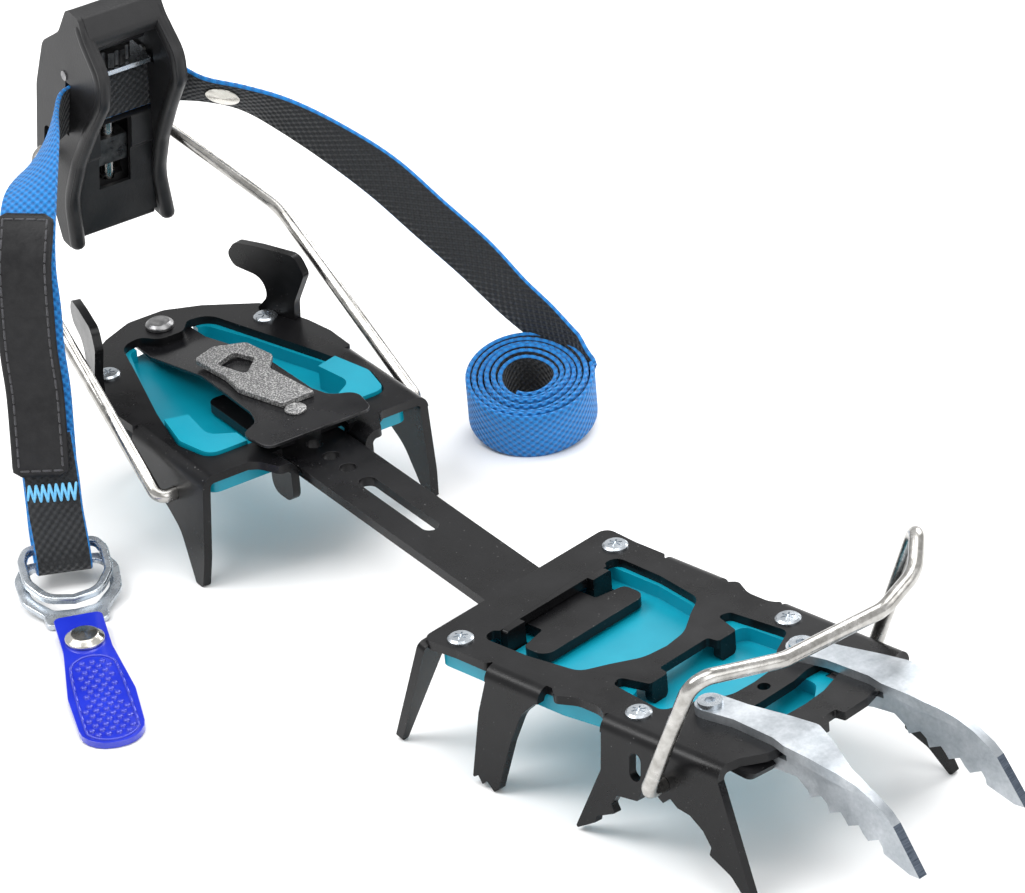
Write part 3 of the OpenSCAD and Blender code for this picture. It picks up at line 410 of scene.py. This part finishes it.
def tube_mesh(name, points, radius, sides=20, side=Vector((0, 0, 1))):
    """Round tube through points, with domed ends."""
    bm = bmesh.new()
    rings = []
    u = None
    for i, p in enumerate(points):
        d = (points[min(i + 1, len(points) - 1)] - points[max(i - 1, 0)]).normalized()
        kept = side if u is None else u
        u = (kept - d * kept.dot(d)).normalized()
        v = d.cross(u)
        rings.append([bm.verts.new(on_circle(p, u, v, radius, k, sides)) for k in range(sides)])
    for a, b in zip(rings, rings[1:]):
        for k in range(sides):
            bm.faces.new((a[k], a[(k + 1) % sides], b[(k + 1) % sides], b[k]))
    for ring, centre, turn in ((rings[0], points[0], -1), (rings[-1], points[-1], 1)):
        out = (points[0] - points[1] if turn < 0 else points[-1] - points[-2]).normalized()
        last = ring
        for angle in (30, 55, 75):
            r, h = math.cos(math.radians(angle)), math.sin(math.radians(angle))
            new = [bm.verts.new(centre + (q.co - centre) * r + out * radius * h * 0.8) for q in ring]
            for k in range(sides):
                quad = (last[k], last[(k + 1) % sides], new[(k + 1) % sides], new[k])
                bm.faces.new(quad if turn > 0 else quad[::-1])
            last = new
        tip = bm.verts.new(centre + out * radius * 0.8)
        for k in range(sides):
            tri = (last[k], last[(k + 1) % sides], tip)
            bm.faces.new(tri if turn > 0 else tri[::-1])
    mesh = bpy.data.meshes.new(name)
    bm.to_mesh(mesh)
    bm.free()
    mesh.shade_smooth()
    return mesh


def bent(points, radii, n=10):
    """Path with each inner corner rounded to a true arc of the given radius."""
    out = [points[0]]
    for p, q, s, r in zip(points, points[1:], points[2:], radii):
        u, v = (p - q).normalized(), (s - q).normalized()
        half = math.acos(max(-1, min(1, u.dot(v)))) / 2
        reach = min(r / math.tan(half), 0.49 * (p - q).length, 0.49 * (s - q).length)
        r = reach * math.tan(half)
        centre = q + (u + v).normalized() * r / math.sin(half)
        a, b = q + u * reach - centre, q + v * reach - centre
        turn = a.rotation_difference(b)
        for k in range(n + 1):
            out.append(centre + Quaternion().slerp(turn, k / n) @ a)
    out.append(points[-1])
    return out


def strip_mesh(name, rows, width, thick):
    """Flat woven strip and its length: rows are [point, width hint]. The side that looks along the
    normal takes the second material, and the other side and the two narrow edges the first."""
    frames = path_frames([r[0] for r in rows], [r[1] for r in rows])
    a, b, k = width / 2, thick / 2, thick * 0.32
    section = [(-a, b - k), (-a + k, b), (-a / 2, b), (0, b), (a / 2, b), (a - k, b), (a, b - k),
               (a, -b + k), (a - k, -b), (a / 2, -b), (0, -b), (-a / 2, -b), (-a + k, -b), (-a, -b + k)]
    n = len(section)
    bm = bmesh.new()
    uv = bm.loops.layers.uv.new("weave")
    rings, lengths, run = [], [], 0.0
    for i, (p, d, u, w) in enumerate(frames):
        if i:
            run += (p - frames[i - 1][0]).length
        lengths.append(run)
        rings.append([bm.verts.new(p + u * x + w * y) for x, y in section])
    for i in range(len(rings) - 1):
        for j in range(n):
            jj = (j + 1) % n
            f = bm.faces.new((rings[i][j], rings[i + 1][j], rings[i + 1][jj], rings[i][jj]))
            f.material_index = 1 if 0 < j < 5 else 0
            for loop, (ii, q) in zip(f.loops, ((i, j), (i + 1, j), (i + 1, jj), (i, jj))):
                loop[uv].uv = (section[q][0] + section[q][1], lengths[ii])
    bm.faces.new(rings[0])
    bm.faces.new(rings[-1][::-1])
    bmesh.ops.recalc_face_normals(bm, faces=bm.faces)
    mesh = bpy.data.meshes.new(name)
    bm.to_mesh(mesh)
    bm.free()
    mesh.shade_smooth()
    mesh.set_sharp_from_angle(angle=math.radians(60))
    return mesh, run


# ---------------------------------------------------------------- steel and plastic of the frames
# The eased edges take the second, lighter material: a painted edge highlight with some wear
STEEL = [black_steel, edge_wear_and_highlight]
rounded_node("heel_frame", "heel", STEEL, 0.35 * MM, edge=1)
rounded_node("front_frame", "front", STEEL, 0.35 * MM, edge=1)
rounded_node("linking_bar", "bar", STEEL, 0.3 * MM, edge=1)
rounded_node("lock_spring", "lock", [spring_black, edge_wear_and_highlight], 0.2 * MM, edge=1)
rounded_node("heel_antiball_plate", "heel", [cyan], 0.6 * MM, 3)
rounded_node("front_antiball_plate", "front", [cyan], 0.6 * MM, 3)
rounded_node("lock_tab", "lock", [sandblasted], 0.3 * MM)

# Where the tip of a front point begins, along the front frame and up
TIP_FROM_X, TIP_FROM_Z = 154.5, 17


def ground_tip_face(f):
    """The slanted cut across the thickness of a front point's tip."""
    at = in_front(f.calc_center_median())
    return at.x > TIP_FROM_X and at.z > TIP_FROM_Z and f.normal.z > 0.3


for side in ("left", "right"):
    rounded_node("front_point_" + side, "front", [galvanised_steel, ground_tip], 0.3 * MM,
                 second=ground_tip_face)
rounded_node("heel_lever", "lever", [lever_black], 1.1 * MM, 4)
rounded_node("buckle_ring", "ring", [zinc], 0.7 * MM, 3)
rounded_node("buckle_plate", "ring_plate", [zinc], 0.4 * MM, 2)
rounded_node("pull_tab", "tab", [tab_blue], 0.5 * MM, 3)

PLAIN = {
    "heel_plugs": zinc, "front_plugs": zinc, "spring_rivet": rivet_steel, "lock_pin": sandblasted,
    "lock_collar": rivet_steel, "point_bolts": zinc, "point_nuts": rivet_steel,
    "adjuster_block": dark_metal, "adjuster_screw": steel, "thumbwheel": dark_metal,
    "wheel_plate": zinc, "wheel_pins": rivet_steel, "strap_rivet": nickel, "tab_stud": nickel,
}
for node, material in PLAIN.items():
    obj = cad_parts[node]
    obj.data.materials.clear()
    obj.data.materials.append(material)

# ---------------------------------------------------------------- wires
TOE_WIRE_R, HEEL_WIRE_R = 2.15 * MM, 2 * MM
TOE_CORNERS = [(89, -32, 25), (89, -45, 25), (106.5, -43, 65), (114, -17, 61), (116, 20, 59),
               (116, 33, 64), (108, 44, 71), (89, 45, 25), (89, 32, 25)]
TOE_BENDS = (3.2, 6, 14, 12, 12, 5, 3.2)
toe_line = bent([front(*p) for p in TOE_CORNERS], [r * MM for r in TOE_BENDS])
toe = link("toe_bail_wire", tube_mesh("toe_bail_wire", toe_line, TOE_WIRE_R), "toe_bail", [steel])
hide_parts("toe_bail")
HEEL_CORNERS = [(-14, 32, 25), (-14, 44, 25), (-80, 41, 64), (-113, 19.3, 90)]
HEEL_BENDS = (3, 16, 5, 5, 16, 3)
heel_line = bent([heel(x, -y, z) for x, y, z in HEEL_CORNERS] + [heel(*p) for p in HEEL_CORNERS[::-1]],
                 [r * MM for r in HEEL_BENDS])
heel_wire = link("heel_bail_wire", tube_mesh("heel_bail_wire", heel_line, HEEL_WIRE_R), "heel_bail",
                 [steel])
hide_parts("heel_bail")

# ---------------------------------------------------------------- strap
# Rows are a point of the strap's middle line and a hint of its width's direction
FREE = [
    [-99, 11, 108, 0.2, 0, 1], [-98.8, 15.6, 107.8, 0.2, 0, 1], [-96.4, 20, 106.2, 0.4, -0.08, 0.92],
    [-91, 26, 103.8, 0.62, -0.22, 0.75],
    [-84, 35, 100.6, 0.62, -0.22, 0.75], [-75, 44, 95, 0.5, -0.05, 0.85], [-66, 54, 86, 0.4, 0.1, 0.9],
    [-57, 64, 75, 0.3, 0.2, 0.9], [-48, 73, 62, 0.3, 0.2, 0.9], [-39, 82, 49, 0.3, 0.2, 0.9],
    [-31, 89, 37, 0.3, 0.1, 0.9], [-24, 95, 28, 0.25, 0, 0.95], [-17, 99.4, 20.5, 0.21, -0.1, 0.97]]
BUCKLE = [
    [-99, -11, 108, 0.2, 0, 1], [-97, -18, 108, 0.2, 0, 1], [-88, -27, 108, 0.3, 0.2, 0.9],
    [-74, -38, 109, 0.2, 0.7, 0.6], [-62, -48, 107, 0.3, 0.9, 0.3], [-53, -55, 101, 0.4, 0.9, 0.1],
    [-48, -59, 91, 0.5, 0.8, 0], [-46, -60, 79, 0.5, 0.8, 0], [-44.6, -61.2, 67, 0.5, 0.8, 0],
    [-42.8, -61.8, 55, 0.5, 0.8, 0], [-40.7, -63.4, 43, 0.5, 0.8, 0], [-39.6, -64.5, 31, 0.5, 0.8, 0],
    [-38.4, -65.2, 20, 0.5, 0.8, 0]]
STRAP_W, STRAP_T = 16 * MM, 1.4 * MM


def strap_row(r):
    return [heel(*r[:3]), Vector(r[3:6])]


# Loop round the rear bars of both rings: distances along the buckle and up, from the ring's own middle
LOOP = [(-4.6, 4.6), (-3.6, 0.4), (-1.4, -3.4), (2.4, -5.0), (5.6, -3.6), (6.6, 0.0), (4.6, 4.4),
        (1.2, 8.6), (-1.2, 12.4)]
loop_rows = [[BUCKLE_AT[0] + x * math.cos(BUCKLE_TURN), BUCKLE_AT[1] + x * math.sin(BUCKLE_TURN),
              BUCKLE_AT[2] + z, 0.42, 0.87, 0] for x, z in LOOP]
# End of the strap, folded back on its outer side and sewn down under the patch
FOLDED = [[-38.095, -65.05, 31, 0.5, 0.8, 0], [-39.695, -64.75, 43, 0.5, 0.8, 0]]
INSIDE = [[-99, 0, 108, 0.2, 0, 1]]

# Spiral of the rolled up end, in the roll's own place: it loosens a little and leans to an oval inwards
ROLL_AT, ROLL_TURN, ROLL_TILT = heel(-17.6, 84.2, 4.4), math.radians(-31), math.radians(14)
ROLL_TURNS, ROLL_STEPS = 6.4, 64
ROLL_R, ROLL_PITCH = 19.0, 1.84
ROLL_START = math.radians(74) - ROLL_TURN
roll_frame = (Matrix.Translation(ROLL_AT) @ Matrix.Rotation(ROLL_TURN, 4, "Z")
              @ Matrix.Rotation(ROLL_TILT, 4, "Y"))
roll_up = roll_frame.to_3x3() @ Vector((0, 0, 1))
spiral = []
for k in range(int(ROLL_TURNS * ROLL_STEPS)):
    turn = k / ROLL_STEPS
    a = ROLL_START - turn * 2 * math.pi
    r = ROLL_R - ROLL_PITCH * turn
    r += 0.22 * math.sin(3 * turn * 2 * math.pi + 1) * min(1, turn / 2) + 0.16 * math.sin(5.3 * turn + 0.4)
    oval = 1 + 0.05 * min(1, turn / 3) * math.cos(2 * a)
    lift = 8 + 0.5 * math.sin(turn * 1.9) * min(1, turn)
    spiral.append([roll_frame @ (Vector((r * oval * math.cos(a), r * math.sin(a), lift)) * MM), roll_up])

STRAP_STEP = 1.6
sampled = spline(FOLDED[::-1] + loop_rows[::-1] + BUCKLE[::-1] + INSIDE + FREE, STRAP_STEP)
strap_rows = [strap_row(r) for r in sampled]
last, first = strap_rows[-1][0], spiral[0][0]
join = [last.lerp(first, t) for t in (0.33, 0.66)]
strap_rows += [[p, roll_up] for p in join] + spiral
strap_mesh, strap_length = strip_mesh("strap", strap_rows, STRAP_W, STRAP_T)
strap = link("strap", strap_mesh, "lever", [web_blue, web_black])
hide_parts("strap_inner_run", "strap_buckle_run", "strap_free_run", "strap_roll")


# ---------------------------------------------------------------- sewn and moulded details
def capsule(bm, a, b, r, sides=6):
    """Short thread from a to b with rounded ends."""
    d = (b - a).normalized()
    u = d.orthogonal().normalized()
    v = d.cross(u)
    rings = []
    for at, k in ((a - d * r * 0.7, 0.45), (a, 1.0), (b, 1.0), (b + d * r * 0.7, 0.45)):
        rings.append([bm.verts.new(on_circle(at, u, v, r * k, i, sides)) for i in range(sides)])
    skin(bm, rings)


def dome(bm, centre, u, v, up, r, h, sides=10):
    """Low round bump on a surface spanned by u and v."""
    last = [bm.verts.new(on_circle(centre, u, v, r, i, sides) - up * 0.2 * h) for i in range(sides)]
    for k, lift in ((0.86, 0.55), (0.5, 0.9)):
        ring = [bm.verts.new(on_circle(centre, u, v, r * k, i, sides) + up * h * lift)
                for i in range(sides)]
        for i in range(sides):
            bm.faces.new((last[i], last[(i + 1) % sides], ring[(i + 1) % sides], ring[i]))
        last = ring
    tip = bm.verts.new(centre + up * h)
    for i in range(sides):
        bm.faces.new((last[i], last[(i + 1) % sides], tip))


def finished(name, bm, body, materials):
    """Smooth shaded piece made from a filled bmesh, on its body."""
    bmesh.ops.recalc_face_normals(bm, faces=bm.faces)
    mesh = bpy.data.meshes.new(name)
    bm.to_mesh(mesh)
    bm.free()
    mesh.shade_smooth()
    return link(name, mesh, body, materials)


# Leather patch over the buckle run, sewn round its edge
PATCH_LIFT = (2.0, -1.8, 0.6)
PATCH = [[-56.6, -52.6, 103.6], [-52.6, -56.0, 98.6], [-49.4, -59.2, 91.5], [-47.6, -61, 79],
         [-46.2, -62.2, 67], [-44.2, -62.9, 55], [-41.2, -64.9, 43], [-40.0, -66.2, 30.5]]
PATCH_OUT = Vector((0.85, -0.53, 0))
PATCH_ACROSS = Vector((0.5, 0.8, 0))
PATCH_W, PATCH_CORNER, PATCH_STEP = 16.4 * MM, 2.4 * MM, 1.5
patch_rows = [[heel(*(at + lift for at, lift in zip(row, PATCH_LIFT))), PATCH_ACROSS]
              for row in spline(PATCH, PATCH_STEP)]
patch_frames = path_frames([r[0] for r in patch_rows], [r[1] for r in patch_rows])
marks = [0.0]
for p, q in zip(patch_frames, patch_frames[1:]):
    marks.append(marks[-1] + (q[0] - p[0]).length)
# Half of the patch's section: distance in from its edge and height, with a groove under the seam
PATCH_EDGE = [(0, -0.6), (0, 0.25), (0.5, 0.6), (1.2, 0.72), (1.9, 0.5)]
PATCH_FACE = 0.62
bm = bmesh.new()
rings = []
for (p, d, u, w), at in zip(patch_frames, marks):
    w = w if w.dot(PATCH_OUT) > 0 else -w
    to_corner = max(0.0, PATCH_CORNER - min(at, marks[-1] - at))
    half = PATCH_W / 2 - PATCH_CORNER + math.sqrt(max(0.0, PATCH_CORNER ** 2 - to_corner ** 2))
    section = ([(x * MM - half, h) for x, h in PATCH_EDGE] + [(0, PATCH_FACE)]
               + [(half - x * MM, h) for x, h in PATCH_EDGE[::-1]])
    rings.append([bm.verts.new(p + u * x + w * (h * MM)) for x, h in section])
skin(bm, rings)
patch = finished("label_patch_leather", bm, "lever", [leather])
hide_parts("label_patch")


def on_patch(at, x):
    """Point of the patch's face at a distance along it and across it."""
    i = max(k for k in range(len(marks) - 1) if marks[k] <= at + 1e-9)
    t = (at - marks[i]) / (marks[i + 1] - marks[i])
    p, d, u, w = patch_frames[i]
    w = w if w.dot(PATCH_OUT) > 0 else -w
    return p.lerp(patch_frames[i + 1][0], t) + u * x + w * (PATCH_FACE * MM)


# Seam's distance from the patch's edge, and its stitches
SEAM = 1.9 * MM
STITCH, STITCH_GAP, STITCH_R = 2.3 * MM, 0.9 * MM, 0.3 * MM
STITCHES_ACROSS, FIRST_ACROSS = 4, 0.5 * MM
bm = bmesh.new()
for k in range(int((marks[-1] - 2 * SEAM) / (STITCH + STITCH_GAP))):
    at = SEAM + k * (STITCH + STITCH_GAP)
    for x in (-PATCH_W / 2 + SEAM, PATCH_W / 2 - SEAM):
        capsule(bm, on_patch(at, x), on_patch(at + STITCH, x), STITCH_R)
for at in (SEAM, marks[-1] - SEAM):
    for k in range(STITCHES_ACROSS):
        x = -PATCH_W / 2 + SEAM + FIRST_ACROSS + k * (STITCH + STITCH_GAP)
        capsule(bm, on_patch(at, x), on_patch(at, x + STITCH), STITCH_R)
finished("patch_stitches", bm, "lever", [thread_dark])

# Bar tack across the folded end, just under the patch: a zigzag of thread on the webbing's face
TACK_AT = heel(-35.545, -66.65, 26.2)
TACK_ACROSS, TACK_UP = Vector((0.53, 0.848, 0)), Vector((-0.36, 0.18, 1))
TACK_HALF_W, TACK_HALF_H, TACK_R, TACK_STROKES = 7.2 * MM, 2.2 * MM, 0.42 * MM, 15
tack_points = [TACK_AT + TACK_ACROSS * (TACK_HALF_W * (2 * k / TACK_STROKES - 1))
               + TACK_UP * (TACK_HALF_H if k % 2 else -TACK_HALF_H) for k in range(TACK_STROKES + 1)]
bm = bmesh.new()
for p, q in zip(tack_points, tack_points[1:]):
    capsule(bm, p, q, TACK_R, 7)
finished("bar_tack", bm, "lever", [thread_blue])

# Oval rim and round bumps of the pull tab
tab_origin = tab(0, 0, 0)
tab_u, tab_v, tab_up = [(tab(*axis) - tab_origin).normalized() for axis in ((1, 0, 0), (0, 1, 0), (0, 0, 1))]


# Ends of the rim along the tab, its straight part's half length, and how it widens
RIM_REAR, RIM_FORE, RIM_STRAIGHT = 25.8, 68.6, 14.2
RIM_WIDTH, RIM_TAPER, RIM_WIDEST = 6.6, 0.03, 8.0
RIM_POINTS, TAB_FACE = 72, 0.62
BUMP_ROWS, BUMP_STEP, BUMP_ACROSS, BUMP_FROM = 16, 2.42, 2.9, 29.2
BUMP_ENDS, BUMP_MARGIN = (26.4, 68.0), 1.5
BUMP_R, BUMP_H = 1.02 * MM, 0.62 * MM


def rim_half(x):
    """Half width of the tab's rim at a place along the tab."""
    return min(RIM_WIDTH + (x - 26) * RIM_TAPER, RIM_WIDEST)


bm = bmesh.new()
for row in range(BUMP_ROWS):
    for col in range(-3, 4):
        x = BUMP_FROM + row * BUMP_STEP
        y = (col + 0.5 * (row % 2)) * BUMP_ACROSS
        to_end = min(x - BUMP_ENDS[0], BUMP_ENDS[1] - x)
        inside = rim_half(x) - BUMP_MARGIN
        if to_end < inside:
            inside = math.sqrt(max(0.0, inside ** 2 - (inside - to_end) ** 2))
        if abs(y) <= inside:
            dome(bm, tab(x, y, 0.6), tab_u, tab_v, tab_up, BUMP_R, BUMP_H)
finished("tab_bumps", bm, "tab", [tab_blue])

rim_points = []
for k in range(RIM_POINTS):
    c, s = math.cos(2 * math.pi * k / RIM_POINTS), math.sin(2 * math.pi * k / RIM_POINTS)
    centre = (RIM_REAR + RIM_FORE) / 2 + math.copysign(RIM_STRAIGHT, c) * min(1, abs(c) * 3)
    end = RIM_FORE if c > 0 else RIM_REAR
    rim_points.append(tab(centre + (end - centre) * abs(c), rim_half(centre) * s, TAB_FACE))
bm = bmesh.new()
for p, q in zip(rim_points, rim_points[1:] + rim_points[:1]):
    capsule(bm, p, q, 0.42 * MM, 8)
finished("tab_rim", bm, "tab", [tab_blue])

# Ridges in the hollow at the top of the lever
RIDGES, RIDGE_HALF = ((-3.2, 66.2, 1.3), (-5.2, 68.8, 1.1)), 9.2
bm = bmesh.new()
for x, z, r in RIDGES:
    capsule(bm, lever(x, -RIDGE_HALF, z), lever(x, RIDGE_HALF, z), r * MM, 14)
finished("lever_ridges", bm, "lever", [lever_black])

# Rounded rim along the front edges of the lever's walls and over its top
WALL_FLARE, WALL_Y, FLARE_FROM_Z = math.radians(2.6), 13.6, 40
EDGE_R = 2.3 * MM
EDGE = [(-0.6, 1.6), (-4.6, 15), (-0.7, 30), (5.3, 44), (12.0, 57.6), (11.2, 65.6), (2.4, 73.0),
        (-1.8, 78.0)]
EDGE_BENDS = [r * MM for r in (16, 14, 12, 8, 8, 8, 5)]
SADDLE, SADDLE_BEND = (-3.4, 0, 76.6), 12 * MM


def on_wall(x, z, side):
    """A point on the middle plane of the lever's wall at one side, -1 or 1."""
    return lever(x, side * (WALL_Y - (z - FLARE_FROM_Z) * math.sin(WALL_FLARE)), z)


edge_path = bent([on_wall(x, z, -1) for x, z in EDGE] + [lever(*SADDLE)]
                 + [on_wall(x, z, 1) for x, z in EDGE[::-1]],
                 EDGE_BENDS + [SADDLE_BEND] + EDGE_BENDS[::-1])
link("lever_rim", tube_mesh("lever_rim", edge_path, EDGE_R, 18, Vector((0, 1, 0))), "lever", [lever_black])

# Lower part of the lever's rear housing, behind the adjuster
HOUSING = [(-11.6, 8.6), (-15.0, 11.0), (-18.6, 13.6), (-20.3, 17), (-21.2, 22), (-21.5, 29),
           (-21.4, 36.6)]
HOUSING_HALF, HOUSING_T = 12.6, 1.0
bm = bmesh.new()
rings = []
for i, (x, z) in enumerate(HOUSING):
    (xa, za), (xb, zb) = HOUSING[max(i - 1, 0)], HOUSING[min(i + 1, len(HOUSING) - 1)]
    run = math.hypot(xb - xa, zb - za)
    nx, nz = -(zb - za) / run * HOUSING_T / 2, (xb - xa) / run * HOUSING_T / 2
    rings.append([bm.verts.new(lever(x + k * nx, side * HOUSING_HALF, z + k * nz))
                  for k, side in ((1, -1), (1, 1), (-1, 1), (-1, -1))])
skin(bm, rings)
smooth(finished("lever_housing", bm, "lever", [lever_black]).data, 40)


# ---------------------------------------------------------------- light, floor
LIT = Vector((0, 0, 0.03))


def area(name, at, size, power):
    """Square soft light that looks at the object's middle."""
    data = bpy.data.lights.new(name, "AREA")
    data.energy = power
    data.size = size
    obj = bpy.data.objects.new(name, data)
    obj.location = at
    obj.rotation_euler = (LIT - Vector(at)).to_track_quat("-Z", "Y").to_euler()
    bpy.context.collection.objects.link(obj)


area("key", (-0.5, -0.9, 1.5), 0.9, 20)
area("fill", (1.5, 0.3, 0.9), 1.2, 10)
area("back", (-0.6, 1.3, 1.0), 1.0, 18)
area("top", (0.1, 0.1, 1.8), 1.2, 12)
world = bpy.data.worlds.new("world")
world.use_nodes = True
world.node_tree.nodes["Background"].inputs["Color"].default_value = (1, 1, 1, 1)
world.node_tree.nodes["Background"].inputs["Strength"].default_value = 0.75
bpy.context.scene.world = world
bpy.context.scene.view_settings.view_transform = "Standard"

floor_mesh = bpy.data.meshes.new("floor")
FLOOR_HALF = 6
floor_mesh.from_pydata([(x * FLOOR_HALF, y * FLOOR_HALF, 0) for x, y in ((-1, -1), (1, -1), (1, 1), (-1, 1))],
                       [], [(0, 1, 2, 3)])
floor = bpy.data.objects.new("floor", floor_mesh)
bpy.context.collection.objects.link(floor)
floor_material, nodes, links, b = new_material("floor", (0.86, 0.86, 0.86), 0.7, specular=0.2)
cloud = noise(nodes, links, object_coords(nodes), 3)
links.new(ramp(nodes, links, cloud, [(0.3, 0.85), (0.7, 0.88)]), b.inputs["Base Color"])
floor.data.materials.append(floor_material)
